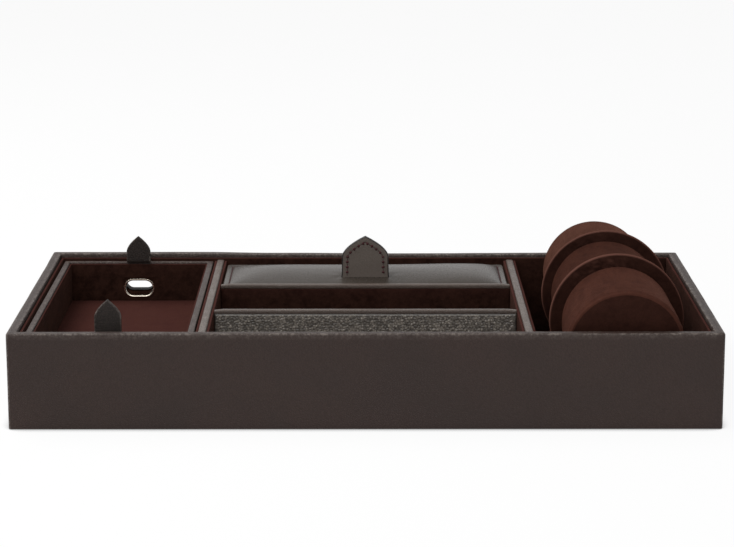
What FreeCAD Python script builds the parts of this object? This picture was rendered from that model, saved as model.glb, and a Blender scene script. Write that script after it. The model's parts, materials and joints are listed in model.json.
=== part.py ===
import FreeCAD, Part
import os
from FreeCAD import Vector

# Dresser valet tray: an open leather-covered case with three bays, a lift-out phone tray,
# a hinged padded lid over the back well and a lift-out watch roll.
# Millimetres. X runs left to right, Y from front to back, Z up.
# The origin is the middle of the underside.

# Overall case
caseLength = 370.0
caseDepth = 200.0
caseHeight = 51.0

# Case wall: outer leather, board, and the leather turned in over the rim
coverT = 1.0
wallBoardT = 3.3
turnInT = 0.8
turnInDepth = 12.0
rimRound = 1.1
cornerRound = 1.6

# Suede-covered liner cards that stand inside the wall
linerGap = 0.4
linerT = 1.4
linerDrop = 2.0

# Base
baseCoverT = 1.0
baseBoardT = 3.0
floorLiningT = 0.8

# Bays, partitions between them, and the two dividers of the middle bay
phoneBayWidth = 89.3
rollBayWidth = 89.3
partitionBoardT = 2.5
partitionCapT = 0.8
partitionCapDepth = 12.0
partitionDrop = 2.5
partitionLiningT = 1.5
partitionLiningDrop = 1.0
frontWellDepth = 55.6
middleWellDepth = 57.9
dividerBoardT = 2.4
dividerSkinT = 0.8
dividerCapDepth = 2.2
dividerCrease = 0.25
capRound = 0.75

# Clearances
clearance = 0.3
liftGap = 0.7

# Lift-out phone tray
trayDrop = 3.5
trayDepth = 23.1
trayCoverT = 0.8
trayBoardT = 2.0
trayTurnInT = 0.6
trayTurnInDepth = 8.0
trayLiningT = 1.0
trayLiningDrop = 1.0
trayBaseBoardT = 1.5
trayFloorLiningT = 0.6
trayRestWidth = 8.0

# Cable port through the phone tray's back wall and the case's back wall
portWidth = 16.0
trayPortHeight = 9.0
casePortHeight = 8.0
portBelowTrayRim = 15.4
casePortRise = 1.8
sleeveWall = 0.5
sleeveFlange = 1.0
flangeT = 0.6

# Lid over the back well
lidSideGap = 0.7
lidFrontGap = 0.6
lidMarginDrop = 4.5
lidLiningT = 0.8
lidBoardT = 2.4
lidCoverT = 1.0
lidMargin = 3.5
lidCrown = 3.0
lidCrownRun = 10.5
lidRestWidth = 3.0
lidRestHeight = 4.0
hingeBattenDepth = 5.8
hingeBattenHeight = 6.0
hingeClothT = 0.5
hingeLeafLength = 12.0
hingeLeafInset = 5.0

# Pull tab on the lid: two plies of leather, stitched
lidTabWidth = 26.6
lidTabHeight = 21.4
lidTabPlyT = 1.4
lidTabSetback = 14.0
lidTabShoulder = 0.43
stitchInset = 3.0
stitchPitch = 3.0
stitchLength = 2.1
stitchWidth = 0.6
stitchProud = 0.25

# Pull tabs on the phone tray: one ply each, cut alike, the rear one set lower in its wall
trayTabWidth = 14.0
trayTabHeight = 17.5
trayTabShoulder = 0.5
trayTabT = 1.8
rearTabDrop = 2.9
trayTabRootDepth = 8.0

# Lift-out watch roll
rollRadius = 30.2
rollFlangeRadius = 36.5
rollFlangeT = 3.5
rollFlangeRound = 1.1
rollFrontSleeve = 57.5
rollBackSleeve = 54.7
rollFrontGap = 3.1
rollBackGap = 2.1
rollPlayShare = 0.32
rollCoreRadius = 18.0
rollCoreWall = 2.0
rollDiscRadius = 27.4
rollDiscT = 1.5
rollEdgeRound = 2.4

# Places worked out from the sizes above
halfLength = caseLength / 2
halfDepth = caseDepth / 2
boardX = halfLength - coverT
boardY = halfDepth - coverT
innerX = boardX - wallBoardT
innerY = boardY - wallBoardT
rimX = innerX - turnInT
rimY = innerY - turnInT
linerOutX = rimX - linerGap
linerOutY = rimY - linerGap
bayX = linerOutX - linerT
bayY = linerOutY - linerT
baseTop = baseCoverT + baseBoardT
floorZ = baseTop + floorLiningT
linerTop = caseHeight - linerDrop
partitionTop = caseHeight - partitionDrop
partitionWidth = partitionBoardT + 2 * partitionCapT
linedPartition = partitionWidth + 2 * partitionLiningT
phoneBayRight = -bayX + phoneBayWidth
rollBayLeft = bayX - rollBayWidth
middleLeft = phoneBayRight + linedPartition
middleRight = rollBayLeft - linedPartition
middleX = (middleLeft + middleRight) / 2
dividerT = dividerBoardT + 2 * dividerSkinT
frontDividerY = -bayY + frontWellDepth
backDividerY = frontDividerY + dividerT + middleWellDepth
backWellY = backDividerY + dividerT
dividerLeft = middleLeft + clearance
dividerRight = middleRight - clearance

trayLeft = -bayX + liftGap
trayRight = phoneBayRight - liftGap
trayY = bayY - liftGap
trayTop = caseHeight - trayDrop
trayWallT = trayCoverT + trayBoardT + trayTurnInT
trayFloorZ = trayTop - trayDepth
trayBoardZ = trayFloorZ - trayFloorLiningT - trayBaseBoardT
trayBottomZ = trayBoardZ - trayCoverT
trayMidX = (trayLeft + trayRight) / 2
trayPortZ = trayTop - portBelowTrayRim
casePortZ = trayPortZ + casePortRise

lidLeft = middleLeft + lidSideGap
lidRight = middleRight - lidSideGap
leafLeft = lidLeft + hingeLeafInset
leafRight = lidRight - hingeLeafInset
lidFront = backWellY + lidFrontGap
lidBack = bayY - hingeBattenDepth - clearance
lidBoardTop = caseHeight - lidMarginDrop - lidCoverT
lidBoardZ = lidBoardTop - lidBoardT
lidBottomZ = lidBoardZ - lidLiningT
lidTabY = lidFront + lidTabSetback
lidTabT = 2 * lidTabPlyT
lidCrownTop = lidBoardTop + lidCoverT + lidCrown
lidTabPivotZ = lidCrownTop + clearance + lidTabT / 2

trayTabPivotZ = trayTop + clearance + trayTabT / 2
trayTabY = trayY - trayWallT - trayTabT / 2

rollPlay = rollBayWidth / 2 - rollFlangeRadius
rollX = bayX - rollBayWidth / 2 + rollPlay * rollPlayShare
rollZ = floorZ + clearance + rollFlangeRadius
rollFront = -bayY + rollFrontGap
rollBack = bayY - rollBackGap
frontFlangeY = rollFront + rollFrontSleeve
backFlangeY = rollBack - rollBackSleeve - rollFlangeT

os.makedirs("parts", exist_ok=True)


def save(name, *solids):
    shape = solids[0] if len(solids) == 1 else Part.makeCompound(list(solids))
    shape.exportStep("parts/" + name + ".step")


def block(x0, x1, y0, y1, z0, z1):
    return Part.makeBox(x1 - x0, y1 - y0, z1 - z0, Vector(x0, y0, z0))


def roundEdges(solid, radius, wanted):
    edges = [e for e in solid.Edges if wanted(e.BoundBox)]
    return solid.makeFillet(radius, edges)


def isFlatAt(low, high, value):
    return abs(low - value) < 1e-6 and abs(high - value) < 1e-6


def topEdge(z):
    return lambda b: isFlatAt(b.ZMin, b.ZMax, z)


# A flat obround bar along Y, used for the cable holes, their sleeves and flanges.
def slotBar(midX, midZ, width, height, y0, y1):
    r = height / 2
    run = width / 2 - r
    left = Vector(midX - run, y0, midZ)
    right = Vector(midX + run, y0, midZ)
    up = Vector(0, 0, r)
    out = Vector(r, 0, 0)
    edges = [
        Part.LineSegment(left + up, right + up).toShape(),
        Part.Arc(right + up, right + out, right - up).toShape(),
        Part.LineSegment(right - up, left - up).toShape(),
        Part.Arc(left - up, left - out, left + up).toShape(),
    ]
    return Part.Face(Part.Wire(edges)).extrude(Vector(0, y1 - y0, 0))


# A metal sleeve through a wall, with a flange at y0 or y1.
def portSleeve(midZ, height, y0, y1, flangeAtBack):
    width = portWidth + 2 * sleeveWall
    tube = slotBar(trayMidX, midZ, width, height + 2 * sleeveWall, y0, y1)
    edge = y1 - flangeT if flangeAtBack else y0
    reach = 2 * sleeveFlange
    flange = slotBar(trayMidX, midZ, portWidth + reach, height + reach, edge, edge + flangeT)
    bore = slotBar(trayMidX, midZ, portWidth, height, y0 - clearance, y1 + clearance)
    return tube.fuse(flange).cut(bore).removeSplitter()


def portHole(midZ, height, y0, y1):
    return slotBar(trayMidX, midZ, portWidth + 2 * sleeveWall, height + 2 * sleeveWall, y0, y1)


# A board's leather cap: a channel turned upside down over the board's top edge.
def cap(x0, x1, y0, y1, top, skin, depth, alongX):
    outside = block(x0, x1, y0, y1, top - depth, top)
    outside = roundEdges(outside, capRound, topEdge(top))
    if alongX:
        return outside.cut(block(x0, x1, y0 + skin, y1 - skin, top - depth, top - skin))
    return outside.cut(block(x0 + skin, x1 - skin, y0, y1, top - depth, top - skin))


# A tab's outline: straight sides, then an arc on each side up to the pointed tip.
def tabOutline(width, height, shoulder, inset=0.0):
    w = width / 2 - inset
    h = height - inset * 1.25
    low = Vector(w, 0, 0)
    side = Vector(w, 0, h * shoulder)
    bend = Vector(w * 0.72, 0, h * (shoulder + (1 - shoulder) * 0.45))
    tip = Vector(0, 0, h)
    mirror = [Vector(-p.x, 0, p.z) for p in (low, side, bend)]
    edges = [
        Part.LineSegment(mirror[0], low).toShape(),
        Part.LineSegment(low, side).toShape(),
        Part.Arc(side, bend, tip).toShape(),
        Part.Arc(tip, mirror[2], mirror[1]).toShape(),
        Part.LineSegment(mirror[1], mirror[0]).toShape(),
    ]
    return Part.Wire(edges)


# A tab that bends about its lower edge, so that edge is round about the pivot.
def tab(midX, midY, pivotZ, width, height, thickness, shoulder):
    leaf = Part.Face(tabOutline(width, height, shoulder)).extrude(Vector(0, thickness, 0))
    leaf.translate(Vector(midX, midY - thickness / 2, pivotZ))
    start = Vector(midX - width / 2, midY, pivotZ)
    foot = Part.makeCylinder(thickness / 2, width, start, Vector(1, 0, 0))
    return leaf.fuse(foot).removeSplitter()


def makeBase():
    save("base_cover", block(-boardX, boardX, -boardY, boardY, 0, baseCoverT))
    save("base_board", block(-boardX, boardX, -boardY, boardY, baseCoverT, baseTop))


def makeWalls():
    top = caseHeight - coverT
    save("front_board", block(-boardX, boardX, -boardY, -innerY, baseTop, top))
    back = block(-boardX, boardX, innerY, boardY, baseTop, top)
    save("back_board", back.cut(portHole(casePortZ, casePortHeight, innerY - 1, halfDepth)))
    save("left_board", block(-boardX, -innerX, -innerY, innerY, baseTop, top))
    save("right_board", block(innerX, boardX, -innerY, innerY, baseTop, top))


def makeOuterCover():
    skin = block(-halfLength, halfLength, -halfDepth, halfDepth, 0, caseHeight)
    skin = roundEdges(skin, cornerRound, lambda b: b.ZLength > caseHeight / 2)
    skin = skin.cut(block(-rimX, rimX, -rimY, rimY, -1, caseHeight + 1))
    skin = roundEdges(skin, rimRound, topEdge(caseHeight))
    boards = block(-boardX, boardX, -boardY, boardY, -1, caseHeight - coverT)
    turnIn = block(-innerX, innerX, -innerY, innerY, caseHeight - turnInDepth, caseHeight)
    skin = skin.cut(boards.cut(turnIn))
    skin = skin.cut(portHole(casePortZ, casePortHeight, rimY - 1, halfDepth + 1))
    width = portWidth + 2 * sleeveFlange
    height = casePortHeight + 2 * sleeveFlange
    seat = slotBar(trayMidX, casePortZ, width, height, halfDepth - flangeT, halfDepth + 1)
    save("outer_cover", skin.cut(seat))


def makeLiners():
    hole = portHole(casePortZ, casePortHeight, bayY - 1, halfDepth)
    save("front_liner", block(-linerOutX, linerOutX, -linerOutY, -bayY, baseTop, linerTop))
    back = block(-linerOutX, linerOutX, bayY, linerOutY, baseTop, linerTop)
    save("back_liner", back.cut(hole))
    left = block(-linerOutX, -bayX, -bayY, bayY, baseTop, linerTop)
    right = block(bayX, linerOutX, -bayY, bayY, baseTop, linerTop)
    save("side_liners", left, right)


def makeFloors():
    save("left_bay_floor", block(-bayX, phoneBayRight, -bayY, bayY, baseTop, floorZ))
    save("right_bay_floor", block(rollBayLeft, bayX, -bayY, bayY, baseTop, floorZ))
    wells = [(-bayY, frontDividerY), (frontDividerY + dividerT, backDividerY), (backWellY, bayY)]
    floors = [block(middleLeft, middleRight, y0, y1, baseTop, floorZ) for y0, y1 in wells]
    save("well_floors", *floors)


def makePartitions():
    end = bayY - clearance
    linings = []
    places = (("left", (phoneBayRight + middleLeft) / 2), ("right", (middleRight + rollBayLeft) / 2))
    for name, mid in places:
        halfBoard = partitionBoardT / 2
        halfCap = partitionWidth / 2
        boardTop = partitionTop - partitionCapT
        board = block(mid - halfBoard, mid + halfBoard, -end, end, baseTop, boardTop)
        save(name + "_partition_board", board)
        leather = cap(mid - halfCap, mid + halfCap, -end, end, partitionTop, partitionCapT,
                      partitionCapDepth, False)
        save(name + "_partition_cap", leather)
        top = partitionTop - partitionLiningDrop
        for face in (mid - halfCap - partitionLiningT, mid + halfCap):
            linings.append(block(face, face + partitionLiningT, -end, end, baseTop, top))
    save("partition_linings", *linings)


def makeDividers():
    linings = []
    for name, y0 in (("front", frontDividerY), ("back", backDividerY)):
        y1 = y0 + dividerT
        boardTop = partitionTop - dividerSkinT
        board = block(dividerLeft, dividerRight, y0 + dividerSkinT, y1 - dividerSkinT, baseTop, boardTop)
        save(name + "_divider_board", board)
        leather = cap(dividerLeft, dividerRight, y0, y1, partitionTop, dividerSkinT, dividerCapDepth, True)
        save(name + "_divider_cap", leather)
        top = partitionTop - dividerCapDepth - dividerCrease
        facing = block(dividerLeft, dividerRight, y0, y0 + dividerSkinT, floorZ, top)
        lining = block(dividerLeft, dividerRight, y1 - dividerSkinT, y1, floorZ, top)
        if name == "front":
            save("front_divider_panel", facing)
            linings.append(lining)
        else:
            linings += [facing, lining]
    save("divider_linings", *linings)


def makeCasePort():
    save("case_port_sleeve", portSleeve(casePortZ, casePortHeight, bayY, halfDepth, True))


def makeRests():
    top = trayBottomZ - clearance
    left = block(-bayX, -bayX + trayRestWidth, -bayY, bayY, floorZ, top)
    right = block(phoneBayRight - trayRestWidth, phoneBayRight, -bayY, bayY, floorZ, top)
    save("tray_rests", left, right)
    top = lidBottomZ - clearance
    y1 = bayY - hingeBattenDepth
    strips = []
    for x0 in (middleLeft, middleRight - lidRestWidth):
        strips.append(block(x0, x0 + lidRestWidth, backWellY, y1, top - lidRestHeight, top))
    save("lid_rests", *strips)
    battenTop = top - hingeClothT
    batten = block(middleLeft, middleRight, y1, bayY, battenTop - hingeBattenHeight, battenTop)
    save("hinge_batten", batten)
    save("hinge_cloth", block(leafLeft, leafRight, y1, bayY, battenTop, top))


def makePhoneTray():
    inset = trayCoverT
    x0, x1 = trayLeft + inset, trayRight - inset
    y1 = trayY - inset
    innerLeft, innerRight = x0 + trayBoardT, x1 - trayBoardT
    innerBack = y1 - trayBoardT
    top = trayTop - trayCoverT
    wallZ = trayBoardZ + trayBaseBoardT
    save("tray_bottom_cover", block(x0, x1, -y1, y1, trayBottomZ, trayBoardZ))
    save("tray_base_board", block(x0, x1, -y1, y1, trayBoardZ, wallZ))
    save("tray_front_board", block(x0, x1, -y1, -innerBack, wallZ, top))
    back = block(x0, x1, innerBack, y1, wallZ, top)
    save("tray_back_board", back.cut(portHole(trayPortZ, trayPortHeight, innerBack - 1, trayY)))
    left = block(x0, innerLeft, -innerBack, innerBack, wallZ, top)
    right = block(innerRight, x1, -innerBack, innerBack, wallZ, top)
    save("tray_side_boards", left, right)

    rimLeft, rimRight = innerLeft + trayTurnInT, innerRight - trayTurnInT
    rimBack = innerBack - trayTurnInT
    skin = block(trayLeft, trayRight, -trayY, trayY, trayBottomZ, trayTop)
    skin = roundEdges(skin, cornerRound / 2, lambda b: b.ZLength > trayDepth / 2)
    skin = skin.cut(block(rimLeft, rimRight, -rimBack, rimBack, trayBottomZ - 1, trayTop + 1))
    skin = roundEdges(skin, rimRound / 2, topEdge(trayTop))
    boards = block(x0, x1, -y1, y1, trayBottomZ - 1, top)
    turnIn = block(innerLeft, innerRight, -innerBack, innerBack, trayTop - trayTurnInDepth, trayTop)
    skin = skin.cut(boards.cut(turnIn))
    save("tray_cover", skin.cut(portHole(trayPortZ, trayPortHeight, y1 - 1, trayY + 1)))

    liningTop = trayTop - trayLiningDrop
    faceLeft, faceRight = rimLeft + trayLiningT, rimRight - trayLiningT
    faceBack = rimBack - trayLiningT
    save("tray_floor_lining", block(rimLeft, rimRight, -rimBack, rimBack, wallZ, trayFloorZ))

    # The lining is notched where a tab's root comes up in front of it.
    def notch(y0, y1):
        half = trayTabWidth / 2
        return block(trayMidX - half, trayMidX + half, y0, y1, trayTop - trayTabRootDepth, trayTop)

    front = block(rimLeft, rimRight, -rimBack, -faceBack, trayFloorZ, liningTop)
    front = front.cut(notch(-rimBack, -faceBack))
    sideLeft = block(rimLeft, faceLeft, -faceBack, faceBack, trayFloorZ, liningTop)
    sideRight = block(faceRight, rimRight, -faceBack, faceBack, trayFloorZ, liningTop)
    save("tray_wall_linings", front, sideLeft, sideRight)
    back = block(rimLeft, rimRight, faceBack, rimBack, trayFloorZ, liningTop)
    back = back.cut(notch(faceBack, rimBack))
    save("tray_back_lining", back.cut(portHole(trayPortZ, trayPortHeight, faceBack - 1, rimBack + 1)))
    save("tray_port_sleeve", portSleeve(trayPortZ, trayPortHeight, faceBack - flangeT, trayY, False))


def makeTrayTabs():
    rootTop = trayTabPivotZ - trayTabT / 2 - clearance
    rootLow = trayTop - trayTabRootDepth
    half = trayTabWidth / 2
    roots = []
    tip = trayTabHeight * (1 - trayTabShoulder)
    for name, y, drop in (("front", -trayTabY, 0), ("rear", trayTabY, rearTabDrop)):
        height = trayTabHeight - drop
        leaf = tab(trayMidX, y, trayTabPivotZ, trayTabWidth, height, trayTabT, 1 - tip / height)
        save(name + "_tab", leaf)
        y0, y1 = y - trayTabT / 2, y + trayTabT / 2
        roots.append(block(trayMidX - half, trayMidX + half, y0, y1, rootLow, rootTop))
    save("tray_tab_roots", *roots)


# The lid's padding, or the leather over it: a low frustum with soft edges.
def crown(grow, base, height):
    def rectangle(inset, z):
        x0, x1 = lidLeft + inset - grow, lidRight - inset + grow
        y0, y1 = lidFront + inset - grow, lidBack - inset + grow
        corners = [Vector(x0, y0, z), Vector(x1, y0, z), Vector(x1, y1, z), Vector(x0, y1, z)]
        return Part.makePolygon(corners + corners[:1])

    low, high = rectangle(lidMargin, base), rectangle(lidMargin + lidCrownRun, base + height)
    return Part.makeLoft([low, high], True)


def makeLid():
    save("lid_lining", block(lidLeft, lidRight, lidFront, lidBack, lidBottomZ, lidBoardZ))
    save("lid_board", block(lidLeft, lidRight, lidFront, lidBack, lidBoardZ, lidBoardTop))
    x0, x1 = middleX - lidTabWidth / 2, middleX + lidTabWidth / 2
    y0, y1 = lidTabY - lidTabT / 2, lidTabY + lidTabT / 2
    slit = block(x0, x1, y0, y1, lidBoardTop, lidCrownTop + 1)
    pad = crown(0, lidBoardTop, lidCrown)
    save("lid_pad", pad.cut(slit))
    sheet = block(lidLeft, lidRight, lidFront, lidBack, lidBoardTop, lidBoardTop + lidCoverT)
    outside = crown(lidCoverT, lidBoardTop, lidCrown + lidCoverT)
    save("lid_cover", sheet.fuse(outside).cut(pad).cut(slit).removeSplitter())
    rootTop = lidTabPivotZ - lidTabT / 2 - clearance
    save("lid_tab_root", block(x0, x1, y0, y1, lidBoardTop, rootTop))
    leafY = lidBack - hingeLeafLength
    save("lid_hinge_leaf", block(leafLeft, leafRight, leafY, lidBack, lidBottomZ - hingeClothT, lidBottomZ))


def makeLidTab():
    whole = tab(middleX, lidTabY, lidTabPivotZ, lidTabWidth, lidTabHeight, lidTabT, lidTabShoulder)
    low = lidTabPivotZ - lidTabT
    high = lidTabPivotZ + lidTabHeight + lidTabT
    x0, x1 = middleX - lidTabWidth, middleX + lidTabWidth
    front = block(x0, x1, lidTabY - lidTabT, lidTabY, low, high)
    save("lid_tab_front_ply", whole.common(front))
    save("lid_tab_back_ply", whole.cut(front))

    # The seam follows the outline on both faces, a stitch at every pitch.
    seam = tabOutline(lidTabWidth, lidTabHeight, lidTabShoulder, stitchInset)
    edges = [e for e in seam.Edges if e.BoundBox.ZLength > 1e-6]
    stitches = []
    for edge in edges:
        count = max(1, round(edge.Length / stitchPitch))
        for k in range(count):
            t = edge.getParameterByLength(edge.Length * (k + 0.5) / count)
            at, way = edge.valueAt(t), edge.tangentAt(t)
            for y in (-lidTabT / 2 - stitchProud, lidTabT / 2):
                bar = Part.makeBox(stitchLength, stitchProud, stitchWidth,
                                   Vector(-stitchLength / 2, 0, -stitchWidth / 2))
                bar.Placement = FreeCAD.Placement(Vector(0, 0, 0), FreeCAD.Rotation(Vector(1, 0, 0), way))
                bar.translate(Vector(middleX + at.x, lidTabY + y, lidTabPivotZ + at.z))
                stitches.append(bar)
    save("lid_tab_thread", *stitches)


# A ring or disc about the roll's axis, from y0 to y1.
def ring(inner, outer, y0, y1):
    start = Vector(rollX, y0, rollZ)
    along = Vector(0, 1, 0)
    disc = Part.makeCylinder(outer, y1 - y0, start, along)
    if inner > 0:
        disc = disc.cut(Part.makeCylinder(inner, y1 - y0, start, along))
    return disc


def circleAt(y, radius):
    return lambda b: isFlatAt(b.YMin, b.YMax, y) and abs(b.ZLength - 2 * radius) < 0.1


def makeWatchRoll():
    core = ring(rollCoreRadius - rollCoreWall, rollCoreRadius, rollFront + rollDiscT, rollBack - rollDiscT)
    save("roll_core", core)
    sleeves = [
        ("front", rollFront, frontFlangeY),
        ("middle", frontFlangeY + rollFlangeT, backFlangeY),
        ("back", backFlangeY + rollFlangeT, rollBack),
    ]
    for name, y0, y1 in sleeves:
        sleeve = ring(rollCoreRadius, rollRadius, y0, y1)
        if name == "front":
            sleeve = roundEdges(sleeve, rollEdgeRound, circleAt(y0, rollRadius))
            sleeve = sleeve.cut(ring(0, rollDiscRadius, y0, y0 + rollDiscT))
        if name == "back":
            sleeve = roundEdges(sleeve, rollEdgeRound, circleAt(y1, rollRadius))
            sleeve = sleeve.cut(ring(0, rollDiscRadius, y1 - rollDiscT, y1))
        save("roll_" + name + "_sleeve", sleeve)
    for name, y0 in (("front", frontFlangeY), ("back", backFlangeY)):
        flange = ring(rollCoreRadius, rollFlangeRadius, y0, y0 + rollFlangeT)
        for y in (y0, y0 + rollFlangeT):
            flange = roundEdges(flange, rollFlangeRound, circleAt(y, rollFlangeRadius))
        save("roll_" + name + "_flange", flange)
    discs = [ring(0, rollDiscRadius, rollFront, rollFront + rollDiscT),
             ring(0, rollDiscRadius, rollBack - rollDiscT, rollBack)]
    save("roll_end_discs", *discs)


makeBase()
makeWalls()
makeOuterCover()
makeLiners()
makeFloors()
makePartitions()
makeDividers()
makeCasePort()
makeRests()
makePhoneTray()
makeTrayTabs()
makeLid()
makeLidTab()
makeWatchRoll()
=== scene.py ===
import json
import math

import bmesh
import bpy
import numpy as np
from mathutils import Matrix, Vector, kdtree, noise


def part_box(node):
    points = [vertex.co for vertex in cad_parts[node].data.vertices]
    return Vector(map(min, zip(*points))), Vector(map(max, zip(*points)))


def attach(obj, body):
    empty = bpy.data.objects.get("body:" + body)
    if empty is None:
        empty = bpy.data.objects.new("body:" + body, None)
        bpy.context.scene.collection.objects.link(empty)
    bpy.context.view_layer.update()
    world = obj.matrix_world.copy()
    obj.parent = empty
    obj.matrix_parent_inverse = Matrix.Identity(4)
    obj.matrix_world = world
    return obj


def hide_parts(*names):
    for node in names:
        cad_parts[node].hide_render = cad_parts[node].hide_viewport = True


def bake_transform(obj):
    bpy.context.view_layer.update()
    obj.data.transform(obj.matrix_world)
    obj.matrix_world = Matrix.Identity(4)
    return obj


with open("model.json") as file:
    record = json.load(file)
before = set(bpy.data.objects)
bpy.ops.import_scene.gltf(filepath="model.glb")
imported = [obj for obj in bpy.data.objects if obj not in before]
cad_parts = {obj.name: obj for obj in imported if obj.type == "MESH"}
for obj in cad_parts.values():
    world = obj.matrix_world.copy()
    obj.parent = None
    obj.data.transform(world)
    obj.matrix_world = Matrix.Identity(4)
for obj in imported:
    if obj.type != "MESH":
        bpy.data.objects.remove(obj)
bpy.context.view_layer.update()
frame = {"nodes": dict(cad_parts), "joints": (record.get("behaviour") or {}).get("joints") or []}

mm = 0.001
nodes = frame["nodes"]
noise.seed_set(1)    # unseeded, noise_vector differs from run to run


def addObject(name, data):
    made = bpy.data.objects.new(name, data)
    bpy.context.scene.collection.objects.link(made)
    return made


# camera
cameraSettings = {"lens": 118.05, "sensor": 36, "place": (-0.0023, -1.299, 0.350), "pitchDown": 12.57,
                  "yaw": -0.141, "near": 0.01, "far": 50}


def makeCamera():
    look = cameraSettings
    data = bpy.data.cameras.new("camera")
    data.lens, data.sensor_width = look["lens"], look["sensor"]
    data.clip_start, data.clip_end = look["near"], look["far"]
    camera = addObject("camera", data)
    camera.location = look["place"]
    camera.rotation_euler = (math.radians(90 - look["pitchDown"]), 0, math.radians(look["yaw"]))
    bpy.context.scene.camera = camera


# a shader socket that takes sums, as 1 - mask
class Link:
    def __init__(self, shader, socket):
        self.shader = shader
        self.socket = socket

    def __getitem__(self, name):
        return Link(self.shader, self.socket.node.outputs[name])

    def maths(self, operation, first, second):
        return self.shader.node("Math", {"operation": operation}, {0: first, 1: second})

    def __add__(self, other):
        return self.maths("ADD", self, other)

    def __radd__(self, other):
        return self.maths("ADD", other, self)

    def __sub__(self, other):
        return self.maths("SUBTRACT", self, other)

    def __rsub__(self, other):
        return self.maths("SUBTRACT", other, self)

    def __mul__(self, other):
        return self.maths("MULTIPLY", self, other)

    def __rmul__(self, other):
        return self.maths("MULTIPLY", other, self)

    def between(self, low, high):
        ranged = {"interpolation_type": "SMOOTHSTEP"}
        return self.shader.node("MapRange", ranged, {"Value": self, "From Min": low, "From Max": high})


class Shader:
    def __init__(self, name, world=None):
        self.material = world or bpy.data.materials.new(name)
        self.material.use_nodes = True
        self.tree = self.material.node_tree
        self.tree.nodes.clear()
        self.at = None if world else self.node("TexCoord")["Object"]

    def node(self, kind, settings=None, sockets=None):
        made = self.tree.nodes.new("ShaderNode" + kind)
        for key, value in (settings or {}).items():
            setattr(made, key, value)
        for key, value in (sockets or {}).items():
            if isinstance(value, Link):
                self.tree.links.new(value.socket, made.inputs[key])
            else:
                made.inputs[key].default_value = value
        shown = [output for output in made.outputs if output.enabled]
        return Link(self, shown[0]) if shown else None

    def mix(self, factor, first, second):
        first, second = [c if isinstance(c, Link) else (*c, 1) for c in (first, second)]
        return self.node("Mix", {"data_type": "RGBA"}, {0: factor, 6: first, 7: second})

    def noise(self, scale, detail=3, rough=0.55, at=None):
        sockets = {"Vector": at or self.at, "Scale": scale, "Detail": detail, "Roughness": rough}
        return self.node("TexNoise", None, sockets)

    def cells(self, scale, at):
        return self.node("TexVoronoi", {"feature": "DISTANCE_TO_EDGE"}, {"Vector": at, "Scale": scale})

    # mask of the lighter edges and tops: wear and painted highlight
    def wornAndLit(self):
        return self.node("Attribute", {"attribute_name": "wornAndLit"})["Fac"]

    def bump(self, height, distance, strength, under=None):
        sockets = {"Height": height, "Distance": distance, "Strength": strength}
        if under:
            sockets["Normal"] = under
        return self.node("Bump", None, sockets)

    def stretched(self, *shares):
        return self.node("VectorMath", {"operation": "MULTIPLY"}, {0: self.at, 1: shares})

    def warped(self, scale, reach):
        pull = self.noise(scale, 2)["Color"]
        moved = self.node("VectorMath", {"operation": "SUBTRACT"}, {0: pull, 1: (0.5, 0.5, 0.5)})
        return self.node("VectorMath", {"operation": "MULTIPLY_ADD"}, {0: moved, 1: (reach,) * 3, 2: self.at})

    def finish(self, colour, roughness, normal, fixed=None):
        sockets = {"Base Color": colour, "Roughness": roughness, "Normal": normal, **(fixed or {})}
        surface = self.node("BsdfPrincipled", None, sockets)
        self.node("OutputMaterial", None, {"Surface": surface})
        return self.material


# shape helpers, in millimetres until meshOf
def span(node):
    low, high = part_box(node)
    return np.array(low) / mm, np.array(high) / mm


# boxes of a node's separate solids
def solidsOf(node):
    mesh = nodes[node].data
    points = [tuple(round(c / mm, 3) for c in v.co) for v in mesh.vertices]
    names = {p: i for i, p in enumerate(dict.fromkeys(points))}
    group = list(range(len(names)))

    def root(i):
        while group[i] != i:
            i = group[i]
        return i

    for edge in mesh.edges:
        a, b = [root(names[points[i]]) for i in edge.vertices]
        group[a] = b
    islands = {}
    for p, i in names.items():
        islands.setdefault(root(i), []).append(p)
    boxes = [(np.min(ps, axis=0), np.max(ps, axis=0)) for ps in islands.values()]
    return sorted(boxes, key=lambda box: tuple(box[0]))


def meshOf(name, points, faces):
    mesh = bpy.data.meshes.new(name)
    mesh.from_pydata((np.asarray(points, float) * mm).tolist(), [], faces)
    mesh.validate()
    work = bmesh.new()
    work.from_mesh(mesh)
    bmesh.ops.recalc_face_normals(work, faces=work.faces)
    work.to_mesh(mesh)
    work.free()
    return mesh


def makePiece(name, points, faces, material, slotName, bodyName=None, stands=(), wornAndLit=None, smooth=40):
    mesh = meshOf(name, points, faces)
    piece = addObject(name, mesh)
    if wornAndLit is not None:
        layer = mesh.attributes.new("wornAndLit", "FLOAT", "POINT")
        layer.data.foreach_set("value", np.asarray(wornAndLit, np.float32))
    mesh.polygons.foreach_set("use_smooth", [True] * len(mesh.polygons))
    mesh.set_sharp_from_angle(angle=math.radians(smooth))
    mesh.materials.append(material)
    if stands:
        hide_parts(*stands)
    if bodyName:
        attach(piece, bodyName)
    return piece


def ripple(points, look):
    seed = look["seed"]
    shift = Vector((seed, seed * 1.7, -seed))
    moves = [noise.noise_vector(Vector(p) / look["waveSize"] + shift) for p in points]
    return np.asarray(points, float) + np.array([tuple(m) for m in moves]) * look["wave"]


def field(points, size, seed):
    shift = Vector((seed, -seed, seed * 0.6))
    return np.array([noise.noise(Vector(p) / size + shift) for p in points])


def smoothStep(value, low, high):
    t = np.clip((value - low) / (high - low), 0, 1)
    return t * t * (3 - 2 * t)


def lifted(places, height=0.0):
    return np.column_stack([places, np.full(len(places), height)])


# how far (x, y) lies inside a box's four sides
def insetOf(points, low, high):
    x, y = points[:, 0], points[:, 1]
    return np.minimum.reduce([x - low[0], high[0] - x, y - low[1], high[1] - y])


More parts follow.
